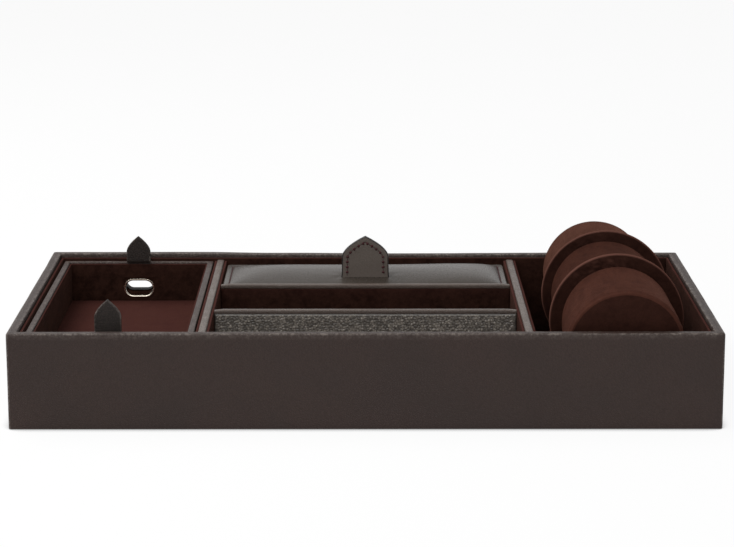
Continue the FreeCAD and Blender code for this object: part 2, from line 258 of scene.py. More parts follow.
# closed outline from (x, y, corner radius)
def roundedPath(corners, arcSteps=4, longest=None):
    path = []
    for i, (x, y, radius) in enumerate(corners):
        here = np.array((x, y), float)
        if radius <= 0:
            path.append(here)
            continue
        before = np.array(corners[i - 1][:2], float) - here
        after = np.array(corners[(i + 1) % len(corners)][:2], float) - here
        before /= np.linalg.norm(before)
        after /= np.linalg.norm(after)
        half = math.acos(np.clip(before @ after, -1, 1)) / 2
        middle = (before + after) / np.linalg.norm(before + after)
        centre = here + middle * radius / math.sin(half)
        first = here + before * radius / math.tan(half) - centre
        last = here + after * radius / math.tan(half) - centre
        sweep = math.pi - 2 * half
        for k in range(arcSteps + 1):
            t = k / arcSteps
            arm = (math.sin((1 - t) * sweep) * first + math.sin(t * sweep) * last) / math.sin(sweep)
            path.append(centre + arm)
    return np.array(divided(path, longest) if longest else path)


def divided(path, longest):
    fine = []
    for a, b in zip(path, path[1:] + path[:1]):
        steps = max(1, math.ceil(np.linalg.norm(b - a) / longest - 1e-6))
        fine += [a + (b - a) * k / steps for k in range(steps)]
    return fine


def gridFaces(rows, columns, closedRows=True, closedColumns=True, start=0):
    faces = []
    for i in range(rows if closedRows else rows - 1):
        for j in range(columns if closedColumns else columns - 1):
            a, b = i * columns + j, i * columns + (j + 1) % columns
            c, d = ((i + 1) % rows) * columns + (j + 1) % columns, ((i + 1) % rows) * columns + j
            faces.append(tuple(start + k for k in (a, b, c, d)))
    return faces


# faces of two open grids, one after the other
def twoSheets(rows, columns):
    faces = gridFaces(rows, columns, False, False)
    return faces + gridFaces(rows, columns, False, False, start=rows * columns)


# way round an open grid's border
def gridRim(rows, columns):
    rim = [i * columns for i in range(rows)] + [(rows - 1) * columns + j for j in range(1, columns)]
    return rim + [(i + 1) * columns - 1 for i in range(rows - 2, -1, -1)] + list(range(columns - 2, 0, -1))


# faces between two loops
def wallFaces(first, second):
    count = len(first)
    return [(first[k], first[(k + 1) % count], second[(k + 1) % count], second[k]) for k in range(count)]


# rings one after another, with both ends closed
def tube(rings):
    count, sides = len(rings), len(rings[0])
    faces = gridFaces(count, sides, closedRows=False)
    faces += [tuple(range(sides)), tuple(range((count - 1) * sides, count * sides))]
    return np.concatenate(rings), faces


def frameLoop(halfX, halfY, radius, counts, cornerSteps):
    loop = []
    corners = [(1, 1, 0), (-1, 1, 90), (-1, -1, 180), (1, -1, 270)]

    def onArc(sideX, sideY, turn):
        centre = np.array((sideX * (halfX - radius), sideY * (halfY - radius)))
        angle = math.radians(turn)
        return centre + radius * np.array((math.cos(angle), math.sin(angle)))

    for k, (sideX, sideY, turn) in enumerate(corners):
        loop += [onArc(sideX, sideY, turn + 90 * step / cornerSteps) for step in range(cornerSteps + 1)]
        start, target, number = loop[-1], onArc(*corners[(k + 1) % 4]), counts[k % 2]
        loop += [start + (target - start) * s / (number + 1) for s in range(1, number + 1)]
    return np.array(loop)


# ring of leather, profile (inset, height)
def leatherFrame(low, high, profile, look):
    middle, half = (low + high) / 2, (high - low) / 2
    counts = [int(2 * half[0] / look["step"]), int(2 * half[1] / look["step"])]
    steps = look["cornerSteps"]
    points, corner = [], []
    for inset, height in profile:
        radius = max(look["cornerRadius"] - inset, look["leastRadius"])
        loop = frameLoop(half[0] - inset, half[1] - inset, radius, counts, steps)
        points += [(middle[0] + x, middle[1] + y, height) for x, y in loop]
        run = [s == steps // 2 for s in range(steps + 1)]
        corner += (run + [False] * counts[0] + run + [False] * counts[1]) * 2
    points = np.array(points)
    fold = np.array(corner) & (points[:, 2] > high[2] - look["foldDepth"])
    points[fold, 2] -= look["crease"]
    return points, gridFaces(len(profile), len(points) // len(profile))


def softBox(low, high, radius, step):
    low, high = np.array(low, float), np.array(high, float)
    radius = min(radius, *((high - low) / 2.01))
    bends = radius * np.array((0, 0.3, 0.65, 1))
    lines = []
    for a, b in zip(low, high):
        flat = b - a - 2 * radius
        parts = max(1, round(flat / step))
        middle = [a + radius + flat * k / parts for k in range(1, parts)]
        lines.append(np.concatenate([a + bends, middle, b - bends[::-1]]))
    return roundedShell(lines, low, high, radius)


def roundedShell(lines, low, high, radius):
    names, points, faces = {}, [], []

    def at(key):
        if key not in names:
            names[key] = len(points)
            points.append([line[i] for line, i in zip(lines, key)])
        return names[key]

    last = [len(line) - 1 for line in lines]
    for axis in range(3):
        u, v = [a for a in range(3) if a != axis]
        for end in (0, last[axis]):
            for i in range(last[u]):
                for j in range(last[v]):
                    quad = []
                    for di, dj in ((0, 0), (1, 0), (1, 1), (0, 1)):
                        key = [0, 0, 0]
                        key[axis], key[u], key[v] = end, i + di, j + dj
                        quad.append(at(tuple(key)))
                    faces.append(tuple(quad))
    points = np.array(points)
    core = np.clip(points, low + radius, high - radius)
    out = points - core
    length = np.linalg.norm(out, axis=1, keepdims=True)
    return core + out / np.maximum(length, 1e-9) * radius, faces


def joined(parts):
    points, faces, start = [], [], 0
    for some, these in parts:
        points.append(np.asarray(some, float))
        faces += [tuple(start + i for i in face) for face in these]
        start += len(some)
    return np.concatenate(points), faces


def treeOf(places):
    tree = kdtree.KDTree(len(places))
    for i, (u, v) in enumerate(places):
        tree.insert((u, v, 0), i)
    tree.balance()
    return tree


# finishes
def grainedLeather(name, look):
    s = Shader(name)
    grain = look["grain"] * mm
    creases = s.cells(1 / grain, s.warped(1 / (grain * 3), grain * 0.7)).between(0.01, look["creaseWidth"])
    pores = s.noise(2.6 / grain, 3, 0.6)
    patches = s.noise(look["patches"], 3, 0.55).between(0.3, 0.7)
    wornAndLit = s.wornAndLit()
    specks = s.noise(look["specks"], 2, 0.5).between(0.42, 0.62)
    patchy = 1 - (1 - s.noise(look["rubs"], 3).between(0.3, 0.7)) * look["patchy"]
    # lighter colour on edges and tops: partly wear, partly painted highlight
    rubbed = wornAndLit * patchy * (0.25 + specks * 0.75)
    colour = s.mix(patches * look["mottle"], look["colour"], look["deep"])
    colour = s.mix((1 - creases) * look["creaseDark"], colour, look["deep"])
    colour = s.mix(rubbed * look["wear"], colour, look["rubbed"])
    roughness = look["roughness"] + (1 - creases) * 0.14 + (pores - 0.5) * 0.16 - rubbed * 0.06
    height = creases * 0.75 + pores * 0.35 + wornAndLit * specks * look["lumps"]
    slow = s.bump(s.noise(look["dents"], 2), 0.0006, look["slack"])
    normal = s.bump(height, look["depth"] * mm, look["strength"], slow)
    return s.finish(colour, roughness, normal, {"Specular IOR Level": look["gloss"]})


def suede(name, look):
    s = Shader(name)
    brushed = s.noise(look["brushing"], 4, 0.62, s.warped(20, 0.03)).between(0.34, 0.68)
    streaks = s.noise(look["streaks"], 4, 0.65, s.stretched(1.0, 0.3, 1.0)).between(0.36, 0.66)
    fibres = s.noise(look["fibres"], 3, 0.7)
    flecks = s.noise(look["flecks"], 3, 0.6, s.stretched(1.0, 0.45, 1.0)).between(0.4, 0.65)
    clouds = s.noise(look["clouds"], 4, 0.6, s.warped(60, 0.006)).between(0.36, 0.62)
    colour = s.mix(brushed, look["shade"], look["colour"])
    for share in (clouds * look["clouded"], streaks * 0.6, flecks * 0.35):
        colour = s.mix(share, colour, look["bright"])
    colour = s.mix(fibres.between(0.35, 0.75) * 0.4, colour, look["shade"])
    # lighter colour on edges and tops: partly wear, partly painted highlight on the nap
    colour = s.mix(s.wornAndLit() * look["wear"], colour, look["rubbed"])
    slow = s.bump(brushed + streaks * 0.3, 0.0007, 0.35)
    normal = s.bump(fibres + s.noise(700, 2) * 0.7, 0.00025, 0.6, slow)
    fixed = {"Sheen Weight": look["sheen"], "Sheen Roughness": 0.42, "Sheen Tint": (*look["nap"], 1),
             "Specular IOR Level": 0.03}
    return s.finish(colour, 0.88 + fibres * 0.1, normal, fixed)


def plated(name, bright, dull, roughness):
    s = Shader(name)
    brushed = s.noise(900, 3, 0.6, s.stretched(1.0, 0.2, 1.0))
    patches = s.noise(220, 3).between(0.45, 0.8)
    colour = s.mix(patches * 0.4, bright, dull)
    rough = roughness + brushed * 0.1 + patches * 0.1
    return s.finish(colour, rough, s.bump(brushed, 0.00003, 0.4), {"Metallic": 1.0})


def greyBoard():
    s = Shader("greyBoard")
    fibres = s.noise(900, 4, 0.7, s.stretched(0.3, 1.0, 1.0))
    flecks = s.noise(300, 2).between(0.6, 0.75)
    colour = s.mix(fibres, (0.12, 0.10, 0.085), (0.22, 0.195, 0.165))
    colour = s.mix(flecks * 0.4, colour, (0.08, 0.06, 0.05))
    return s.finish(colour, 0.9, s.bump(fibres, 0.0002, 0.5))


def bookCloth(name, colour, deep):
    s = Shader(name)
    threads = {"Vector": s.at, "Scale": 330.0, "Distortion": 0.6, "Detail": 1.0}
    warp, weft = [s.node("TexWave", {"bands_direction": way}, threads)["Fac"] for way in "XY"]
    weave = warp.maths("MAXIMUM", warp, weft)
    slubs = s.noise(500, 3, 0.6, s.stretched(0.2, 1.0, 1.0))
    shade = s.mix(weave, deep, colour)
    shade = s.mix(slubs.between(0.5, 0.75) * 0.4, shade, deep)
    return s.finish(shade, 0.86, s.bump(weave + slubs * 0.4, 0.0002, 0.6), {"Specular IOR Level": 0.2})


def waxedThread():
    s = Shader("waxedThread")
    twist = s.noise(2200, 2, 0.5, s.stretched(1.0, 1.0, 0.5))
    colour = s.mix(twist, (0.022, 0.003, 0.004), (0.062, 0.009, 0.011))
    return s.finish(colour, 0.5 + twist * 0.2, s.bump(twist, 0.0001, 0.6), {"Specular IOR Level": 0.3})


def paintedEdge():
    s = Shader("paintedEdge")
    lumps = s.noise(700, 3)
    colour = s.mix(lumps.between(0.3, 0.7), (0.007, 0.005, 0.004), (0.016, 0.012, 0.010))
    return s.finish(colour, 0.34 + lumps * 0.3, s.bump(lumps, 0.00015, 0.5), {"Specular IOR Level": 0.4})


coverLook = {
    "colour": (0.0262, 0.0117, 0.0078), "deep": (0.0140, 0.0062, 0.0042), "rubbed": (0.205, 0.170, 0.148),
    "grain": 1.15, "creaseWidth": 0.22, "creaseDark": 0.5, "depth": 0.18, "strength": 0.7, "patchy": 0.8,
    "mottle": 0.45, "wear": 0.85, "roughness": 0.47, "slack": 0.25, "gloss": 0.35, "lumps": 1.6,
    "specks": 620.0, "rubs": 160.0, "dents": 70.0, "patches": 26.0,
}
lidLook = dict(coverLook, colour=(0.047, 0.0375, 0.0305), deep=(0.034, 0.0265, 0.0215), grain=0.8, depth=0.07,
               strength=0.45, roughness=0.22, mottle=0.35, creaseDark=0.25, slack=0.35, gloss=0.32)
# lighter copy of the cover leather: painted light on the front-facing lid tab
tabPaintedLightLook = dict(coverLook, colour=(0.138, 0.113, 0.096), deep=(0.094, 0.076, 0.064), grain=0.85, depth=0.08,
               strength=0.5, roughness=0.50, gloss=0.34)
darkLook = dict(coverLook, colour=(0.0370, 0.0262, 0.0215), deep=(0.0105, 0.0076, 0.0064), grain=1.0,
                depth=0.20, strength=1.0, roughness=0.56, gloss=0.26, creaseDark=0.9, mottle=0.6)
# lighter copy of the cover leather: painted light on the front-facing pebbled panel
pebblePaintedLightLook = dict(coverLook, colour=(0.075, 0.065, 0.056), deep=(0.030, 0.025, 0.021), grain=0.42, depth=0.05,
                  rubbed=(0.33, 0.290, 0.246), strength=0.4, roughness=0.34, gloss=0.55, mottle=0.35,
                  wear=1.0, patchy=0.15)
# lighter copy of the cover leather: painted light on the partition and divider caps
capPaintedLightLook = dict(coverLook, colour=(0.104, 0.076, 0.062), deep=(0.058, 0.042, 0.034), grain=0.9,
               roughness=0.33, strength=1.0, gloss=0.32)
suedeLook = {
    "colour": (0.0240, 0.0102, 0.0073), "shade": (0.0138, 0.0056, 0.0040), "bright": (0.0450, 0.0196, 0.0136),
    "rubbed": (0.066, 0.022, 0.019), "nap": (0.60, 0.29, 0.22), "sheen": 0.05, "wear": 0.60, "clouded": 0.0,
    "fibres": 2400, "flecks": 430, "streaks": 150, "clouds": 95, "brushing": 38,
}
# darker copy of the lining suede: painted shade on the floors, with mottling
floorPaintedShadeLook = dict(suedeLook, colour=(0.0178, 0.0069, 0.0038), shade=(0.0098, 0.0036, 0.0020),
                 bright=(0.0345, 0.0139, 0.0074), sheen=0.03, clouded=0.5)
rollLook = dict(suedeLook, colour=(0.0430, 0.0152, 0.0102), shade=(0.0290, 0.0098, 0.0066),
                bright=(0.0610, 0.0218, 0.0143), rubbed=(0.110, 0.044, 0.031), nap=(0.62, 0.26, 0.18),
                wear=0.5, sheen=0.10)
# darker and lighter copies of the roll suede: painted shade for the middle sleeve, painted light for the back
# sleeve
rollPaintedShadeLook = dict(rollLook, colour=(0.0335, 0.0112, 0.0073), shade=(0.0220, 0.0072, 0.0047),
                    bright=(0.0480, 0.0165, 0.0105), sheen=0.07)
rollPaintedLightLook = dict(rollLook, colour=(0.0560, 0.0225, 0.0150), shade=(0.0400, 0.0152, 0.0102),
                     bright=(0.0780, 0.0320, 0.0215), sheen=0.16)
flangeLook = dict(rollLook, colour=(0.0300, 0.0118, 0.0084), shade=(0.0190, 0.0072, 0.0053),
                  bright=(0.0400, 0.0158, 0.0110), rubbed=(0.110, 0.048, 0.036), wear=0.9, sheen=0.12)

print("finishes")
coverLeather = grainedLeather("coverLeather", coverLook)
lidLeather = grainedLeather("lidLeather", lidLook)
# the tab, pebbled and cap leathers are lit copies of the cover leather: painted light
tabPaintedLightLeather = grainedLeather("tabPaintedLightLeather", tabPaintedLightLook)
darkLeather = grainedLeather("darkLeather", darkLook)
pebbledPaintedLightLeather = grainedLeather("pebbledPaintedLightLeather", pebblePaintedLightLook)
capPaintedLightLeather = grainedLeather("capPaintedLightLeather", capPaintedLightLook)
liningSuede = suede("liningSuede", suedeLook)
floorPaintedShadeSuede = suede("floorPaintedShadeSuede", floorPaintedShadeLook)    # darker copy of the lining suede: painted shade on the floors
rollSuede = suede("rollSuede", rollLook)
rollPaintedShadeSuede = suede("rollPaintedShadeSuede", rollPaintedShadeLook)    # darker copy of the roll suede: painted shade on the middle sleeve between the flanges
rollPaintedLightSuede = suede("rollPaintedLightSuede", rollPaintedLightLook)    # lighter copy of the roll suede: painted light on the back sleeve
flangeSuede = suede("flangeSuede", flangeLook)
nickel = plated("polishedNickel", (0.72, 0.66, 0.56), (0.50, 0.45, 0.37), 0.13)
# darkened copy of the nickel: painted shade inside the case's port
nickelPaintedShade = plated("nickelPaintedShade", (0.012, 0.010, 0.009), (0.007, 0.006, 0.005), 0.60)
board = greyBoard()
baseCloth = bookCloth("baseCloth", (0.030, 0.022, 0.019), (0.012, 0.009, 0.008))
hingeFabric = bookCloth("hingeFabric", (0.045, 0.018, 0.014), (0.018, 0.008, 0.006))
thread = waxedThread()
edgePaint = paintedEdge()


# CAD nodes that stay, with soft edges and better finishes: finish, edge width, nodes
keptNodes = {
    "boards": (board, 0.2, [
        "base_board", "front_board", "back_board", "left_board", "right_board", "left_partition_board",
        "right_partition_board", "front_divider_board", "back_divider_board", "tray_base_board",
        "tray_front_board", "tray_back_board", "tray_side_boards", "roll_core"]),
    "backing": (baseCloth, 0.3, ["base_cover", "tray_bottom_cover"]),
}


def softenNode(node, finish, width):
    node.data.materials.clear()
    node.data.materials.append(finish)
    weld = node.modifiers.new("weld", "WELD")
    weld.merge_threshold = 0.00001
    bevel = node.modifiers.new("bevel", "BEVEL")
    bevel.width = width * mm
    bevel.segments = 3
    bevel.limit_method = "ANGLE"
    bevel.angle_limit = math.radians(40)
    bevel.harden_normals = False


for finish, width, names in keptNodes.values():
    for name in names:
        softenNode(nodes[name], finish, width)


# leather of the case and the phone tray
caseSettings = {
    "skin": 1.0, "turnIn": 12.0, "turnInSkin": 0.8, "rim": 5.1, "edgeRadius": 1.1, "cornerRadius": 1.7,
    "leastRadius": 0.5, "cornerSteps": 6, "foldDepth": 0.6, "step": 4.0, "longest": 2.6, "wave": 0.10,
    "waveSize": 24.0, "seed": 3.0, "crease": 0.22, "margin": 0.25, "bow": 0.5, "rubbed": 1.0,
}
traySettings = dict(caseSettings, skin=0.8, turnIn=8.0, turnInSkin=0.6, rim=3.4, edgeRadius=0.8,
                    cornerRadius=1.0, wave=0.07, waveSize=20.0, crease=0.16, margin=0.1, bow=0.0, rubbed=0.45)


def wrapProfile(look, bottom, top):
    skin, edge, rim = look["skin"], look["edgeRadius"], look["rim"]
    inner, turned = rim - look["turnInSkin"], top - look["turnIn"]
    corners = [
        (0, bottom, 0.5), (0, top, edge), (rim, top, edge * 0.8), (rim, turned, 0.2), (inner, turned, 0),
        (inner, top - skin, 0), (skin, top - skin, 0), (skin, bottom, 0),
    ]
    return roundedPath(corners, longest=look["longest"])


def wrapLeather(name, node, look, bodyName):
    low, high = span(node)
    points, faces = leatherFrame(low, high, wrapProfile(look, low[2], high[2]), look)
    inset = insetOf(points, low, high)
    fromEdge = np.minimum(inset, look["rim"] - inset)    # the rim's outer or inner edge
    # the rim's top edges get the lighter colour: wear and a painted highlight; the corners are lighter from
    # wear
    nearTop = smoothStep(points[:, 2], high[2] - 1.6, high[2] - 0.2) * (1 - smoothStep(fromEdge, 0.3, 1.6))
    atCorner = (np.abs(points - (low + high) / 2) > (high - low) / 2 - 1.2)[:, :2].all(axis=1)
    wornAndLit = np.clip(nearTop + atCorner * 0.6, 0, 1) * look["rubbed"]
    outer = smoothStep(points[:, 2], low[2] + 0.3, low[2] + 4)
    points = points + (ripple(points, look) - points) * outer[:, None]
    # the rear wall's top rises at its left and dips near its middle
    x = points[:, 0]
    bow = smoothStep(-x, 55, 100) - 0.8 * np.exp(-((x - 30) / 60) ** 2)
    rear = smoothStep(points[:, 1], 60, 99) * smoothStep(points[:, 2], high[2] - 14, high[2])
    points[:, 2] += look["bow"] * bow * rear
    return makePiece(name, points, faces, coverLeather, "smooth_leather", bodyName, (node,), wornAndLit)


# outline of a round-ended slot about the origin
def slotLoop(halfWide, halfTall, count=64):
    loop = []
    for k in range(count):
        angle = 2 * math.pi * (k + 0.5) / count
        x, z = math.cos(angle), math.sin(angle)
        loop.append((math.copysign(halfWide - halfTall, x) + halfTall * x, halfTall * z))
    return np.array(loop)


# cut the slot of a port's sleeve right through a piece
def cutPort(piece, portNode, margin):
    low, high = span(portNode)
    half = (high - low) / 2 - margin
    outline = slotLoop(half[0], half[2]) + ((high + low) / 2)[[0, 2]]
    mesh = meshOf("cutter", *tube([[(x, y, z) for x, z in outline] for y in (low[1] - 3, high[1] + 3)]))
    cutter = addObject("cutter", mesh)
    cut = piece.modifiers.new("cut", "BOOLEAN")
    cut.operation = "DIFFERENCE"
    cut.solver = "EXACT"
    cut.object = cutter
    done = bpy.data.meshes.new_from_object(piece.evaluated_get(bpy.context.evaluated_depsgraph_get()))
    piece.modifiers.clear()
    old = piece.data
    piece.data = done
    bpy.data.objects.remove(cutter)
    for spent in (old, mesh):
        bpy.data.meshes.remove(spent)


print("case and tray leather")
caseLeather = wrapLeather("caseLeather", "outer_cover", caseSettings, "case")
cutPort(caseLeather, "case_port_sleeve", caseSettings["margin"])
trayLeather = wrapLeather("trayLeather", "tray_cover", traySettings, "phone_tray")
cutPort(trayLeather, "tray_port_sleeve", traySettings["margin"])


# suede linings
liningSettings = {"step": 7.0, "wave": 0.10, "waveSize": 26.0, "seed": 11.0, "wornDepth": 0.5,
                  "portMargin": 0.3}
linings = [    # piece, CAD node, body, edge radius, finish
    ("frontLining", "front_liner", "case", 0.55, liningSuede),
    ("sideLinings", "side_liners", "case", 0.55, liningSuede),
    ("partitionLinings", "partition_linings", "case", 0.5, liningSuede),
    ("dividerLinings", "divider_linings", "case", 0.35, liningSuede),
    ("phoneBayFloor", "left_bay_floor", "case", 0.3, floorPaintedShadeSuede),
    ("rollBayFloor", "right_bay_floor", "case", 0.3, floorPaintedShadeSuede),
    ("wellFloors", "well_floors", "case", 0.3, floorPaintedShadeSuede),
    ("trayRests", "tray_rests", "case", 0.55, liningSuede),
    ("lidRests", "lid_rests", "case", 0.55, liningSuede),
    ("hingeBatten", "hinge_batten", "case", 0.55, liningSuede),
    ("trayFloor", "tray_floor_lining", "phone_tray", 0.25, floorPaintedShadeSuede),
    ("lidUnderside", "lid_lining", "lid", 0.35, liningSuede),
]


# front, left and right walls of the tray, as thick as its back lining
def trayWallBoxes():
    (x0, y0, z0), (x1, y1, z1) = span("tray_wall_linings")
    backLow, backHigh = span("tray_back_lining")
    thick = backHigh[1] - backLow[1]
    return [((x0, y0, z0), (x1, y0 + thick, z1)), ((x0, y0 + thick, z0), (x0 + thick, y1, z1)),
            ((x1 - thick, y0 + thick, z0), (x1, y1, z1))]


def lineWith(name, node, bodyName, radius, finish=liningSuede, boxes=None):
    look = liningSettings
    parts, wornAndLit = [], []
    for low, high in boxes or solidsOf(node):
        points, faces = softBox(low, high, radius, look["step"])
        # the top edges get the lighter colour: wear and a painted highlight where the nap catches the light
        wornAndLit.append(smoothStep(points[:, 2], high[2] - look["wornDepth"], high[2]))
        parts.append((points, faces))
    points, faces = joined(parts)
    points, wornAndLit = ripple(points, look), np.concatenate(wornAndLit)
    return makePiece(name, points, faces, finish, "suede", bodyName, (node,), wornAndLit)


print("linings")
for lining in linings:
    lineWith(*lining)
lineWith("trayWallLinings", "tray_wall_linings", "phone_tray", 0.4, boxes=trayWallBoxes())
caseBack = lineWith("backLining", "back_liner", "case", 0.55)
cutPort(caseBack, "case_port_sleeve", liningSettings["portMargin"])
trayBack = lineWith("trayBackLining", "tray_back_lining", "phone_tray", 0.4)
cutPort(trayBack, "tray_port_sleeve", liningSettings["portMargin"])


# caps over the partitions and dividers
capSettings = {"skin": 0.8, "round": 0.95, "step": 5.0, "longest": 3.0, "wave": 0.06, "waveSize": 14.0,
               "seed": 23.0, "endSag": 0.45}
caps = [    # piece, CAD node, axis it runs along, painted highlight and wear on the top
    ("leftPartitionCap", "left_partition_cap", 1, 0.75),
    ("rightPartitionCap", "right_partition_cap", 1, 0.6),
    ("frontDividerCap", "front_divider_cap", 0, 0.05),
    ("backDividerCap", "back_divider_cap", 0, 0.1),
]


def capProfile(a, b, bottom, top):
    skin, bend = capSettings["skin"], capSettings["round"]
    corners = [
        (a, bottom, 0.3), (a, top, bend), (b, top, bend), (b, bottom, 0.3), (b - skin, bottom, 0),
        (b - skin, top - skin, 0), (a + skin, top - skin, 0), (a + skin, bottom, 0),
    ]
    return roundedPath(corners, longest=capSettings["longest"])


def capBoard(name, node, run, wear):
    look = capSettings
    low, high = span(node)
    across = 1 - run
    count = max(2, math.ceil((high[run] - low[run]) / look["step"]) + 1)
    profile = capProfile(low[across], high[across], low[2], high[2])
    rings = [[(u, place, z) if run else (place, u, z) for u, z in profile]
             for place in np.linspace(low[run], high[run], count)]
    points, faces = tube(rings)
    ends = np.minimum(points[:, run] - low[run], high[run] - points[:, run])
    sag = (1 - smoothStep(ends, 0, 1.5)) * smoothStep(points[:, 2], high[2] - 1.0, high[2])
    points[:, 2] -= sag * look["endSag"]
    # the top gets the lighter colour: painted highlight and wear, strongest on the partitions
    wornAndLit = smoothStep(points[:, 2], high[2] - 1.1, high[2] - 0.3) * wear
    makePiece(name, ripple(points, look), faces, capPaintedLightLeather, "smooth_leather", "case", (node,), wornAndLit)


print("caps")
for cap in caps:
    capBoard(*cap)


# pebbled panel on the front divider
panelSettings = {"cell": 1.5, "jitter": 0.42, "height": 0.62, "valley": 0.34, "step": 0.36, "seed": 7,
                 "swell": 0.05, "swellSize": 9.0, "swellSeed": 5.0, "underCap": 0.05, "seen": 20.0,
                 "coarseRows": 16, "edge": 0.9, "ground": 0.25}


# cell heights for points (x, z)
def pebbleHeights(places):
    rng = np.random.default_rng(panelSettings["seed"])
    cell = panelSettings["cell"]
    low, high = places.min(axis=0) - 2 * cell, places.max(axis=0) + 2 * cell
    xs, zs = np.arange(low[0], high[0], cell), np.arange(low[1], high[1], cell)
    seeds = np.array([(x + (cell / 2 if row % 2 else 0), z) for row, z in enumerate(zs) for x in xs])
    seeds += rng.uniform(-1, 1, seeds.shape) * panelSettings["jitter"] * cell
    tops = rng.uniform(0.72, 1.0, len(seeds))
    tree = treeOf(seeds)
    heights = []
    for x, z in places:
        (a, first, d1), (b, second, d2) = tree.find_n((x, z, 0), 2)
        gap = (d2 * d2 - d1 * d1) / (2 * (a - b).length)
        rise = min(1.0, max(0.0, gap / (cell * panelSettings["valley"])))
        heights.append(tops[first] * math.sqrt(1 - (1 - rise) ** 2))
    return np.array(heights)


def makePanel():
    look = panelSettings
    low, high = span("front_divider_panel")
    high[2] = span("front_divider_cap")[0][2] - look["underCap"]
    step, seenFrom = look["step"], high[2] - look["seen"]    # finer where it shows
    xs = np.linspace(low[0], high[0], round((high[0] - low[0]) / step) + 1)
    fine = np.linspace(seenFrom, high[2], round(look["seen"] / step) + 1)
    zs = np.concatenate([np.linspace(low[2], seenFrom, look["coarseRows"])[:-1], fine])
    places = np.array([(x, z) for x in xs for z in zs])
    edge = np.minimum.reduce([places[:, 0] - low[0], high[0] - places[:, 0], high[2] - places[:, 1]])
    inner = smoothStep(edge, 0, look["edge"])
    heights = pebbleHeights(places) * inner
    slow = field(lifted(places), look["swellSize"], look["swellSeed"]) * look["swell"] * inner
    face = low[1] + look["ground"] - heights * look["height"] - slow
    points = [(x, y, z) for (x, z), y in zip(places, face)]
    rim, count = gridRim(len(xs), len(zs)), len(points)
    back = list(range(count, count + len(rim)))
    points += [(points[i][0], high[1], points[i][2]) for i in rim]
    faces = gridFaces(len(xs), len(zs), False, False) + wallFaces(rim, back) + [tuple(back)]
    # pebble tops get the lighter colour by their height: a painted highlight
    wornAndLit = np.concatenate([heights, np.zeros(len(rim))])
    makePiece("dividerPanel", points, faces, pebbledPaintedLightLeather, "pebbled_leather", "case",
              ("front_divider_panel",), wornAndLit, smooth=60)


print("pebbled panel")
makePanel()


# cloth simulation: blow up a closed or held skin and give the moved points
def inflate(points, faces, held, pressure, frames=20):
    mesh = meshOf("skin", points, faces)
    skin = addObject("skin", mesh)
    group = skin.vertex_groups.new(name="held")
    group.add([int(i) for i in np.nonzero(held)[0]], 1.0, "REPLACE")
    cloth = skin.modifiers.new("cloth", "CLOTH")
    cloth.settings.vertex_group_mass = "held"
    cloth.settings.use_pressure = True
    cloth.settings.uniform_pressure_force = pressure
    cloth.settings.effector_weights.gravity = 0
    cloth.collision_settings.use_collision = False
    cloth.point_cache.frame_start = 1
    cloth.point_cache.frame_end = frames
    for frameNumber in range(1, frames + 1):
        bpy.context.scene.frame_set(frameNumber)
    done = bpy.data.meshes.new_from_object(skin.evaluated_get(bpy.context.evaluated_depsgraph_get()))
    moved = np.zeros(len(done.vertices) * 3)
    done.vertices.foreach_get("co", moved)
    bpy.data.objects.remove(skin)
    for spent in (mesh, done):
        bpy.data.meshes.remove(spent)
    bpy.context.scene.frame_set(1)
    return moved.reshape(-1, 3) / mm


# sewing: places and directions at even spacing
def along(path, pitch, closed=False, shift=0.5):
    path = np.asarray(path, float)
    if closed:
        path = np.vstack([path, path[:1]])
    lengths = np.concatenate([[0], np.cumsum(np.linalg.norm(np.diff(path, axis=0), axis=1))])
    count = max(1, round(lengths[-1] / pitch))
    spots = (np.arange(count) + shift) * lengths[-1] / count

    def placesAt(some):
        return np.column_stack([np.interp(some, lengths, path[:, k]) for k in range(3)])

    way = placesAt(spots + 0.2) - placesAt(spots - 0.2)
    return placesAt(spots), way / np.linalg.norm(way, axis=1, keepdims=True)


# short thread bars, ends sunk
def stitches(places, ways, normals, length, thick, proud, seed=1):
    rng = np.random.default_rng(seed)
    parts = []
    for place, way, normal in zip(places, ways, normals):
        side = np.cross(way, normal)
        turned = way + side * rng.uniform(-0.06, 0.06)
        long = length * rng.uniform(0.93, 1.05)
        rings = []
        for t in np.linspace(-1, 1, 7):
            lift = proud * (1 - abs(t) ** 3) - thick * 0.75 * abs(t) ** 4
            fat = thick / 2 * (1 - 0.35 * abs(t) ** 4)
            centre = place + turned * t * long / 2 + normal * lift
            angles = np.linspace(0, 2 * math.pi, 8, endpoint=False) + t * 0.9
            wide, tall = side * fat, normal * fat * 0.8
            rings.append([centre + wide * math.cos(a) + tall * math.sin(a) for a in angles])
        parts.append(tube(rings))
    return joined(parts)


# lid
lidSettings = {
    "edge": 1.15, "margin": 3.5, "overBoard": 1.0, "step": 1.7, "skinGrid": (63, 21), "pressure": 75.0,
    "crown": 4.6, "plateau": 14.0, "fullPlateau": 0.8, "fullFrom": (10.0, 70.0), "groove": 0.55,
    "grooveWidth": 0.5, "pull": 0.25, "pullReach": 3.0, "pucker": 0.5, "puckerReach": 4.6, "slack": 0.16,
    "slackSize": 21.0, "slackSeed": 31.0, "pitch": 3.0, "stitch": 2.1, "thread": 0.5, "proud": 0.16,
    "sewnRadius": 2.0, "sewnLift": 0.22,
}


# lines across the lid, closer together at its margin and its sewn groove
def lidLines(low, high):
    near = [0, 0.3, 0.7, 1.15, 1.9, 2.6, 3.0, 3.25, 3.5, 3.75, 4.0, 4.5, 5.2, 6.2, 7.4]
    inner = high - low - 2 * near[-1]
    count = round(inner / lidSettings["step"])
    middle = [low + near[-1] + inner * k / count for k in range(1, count)]
    return np.array([low + d for d in near] + middle + [high - d for d in reversed(near)])


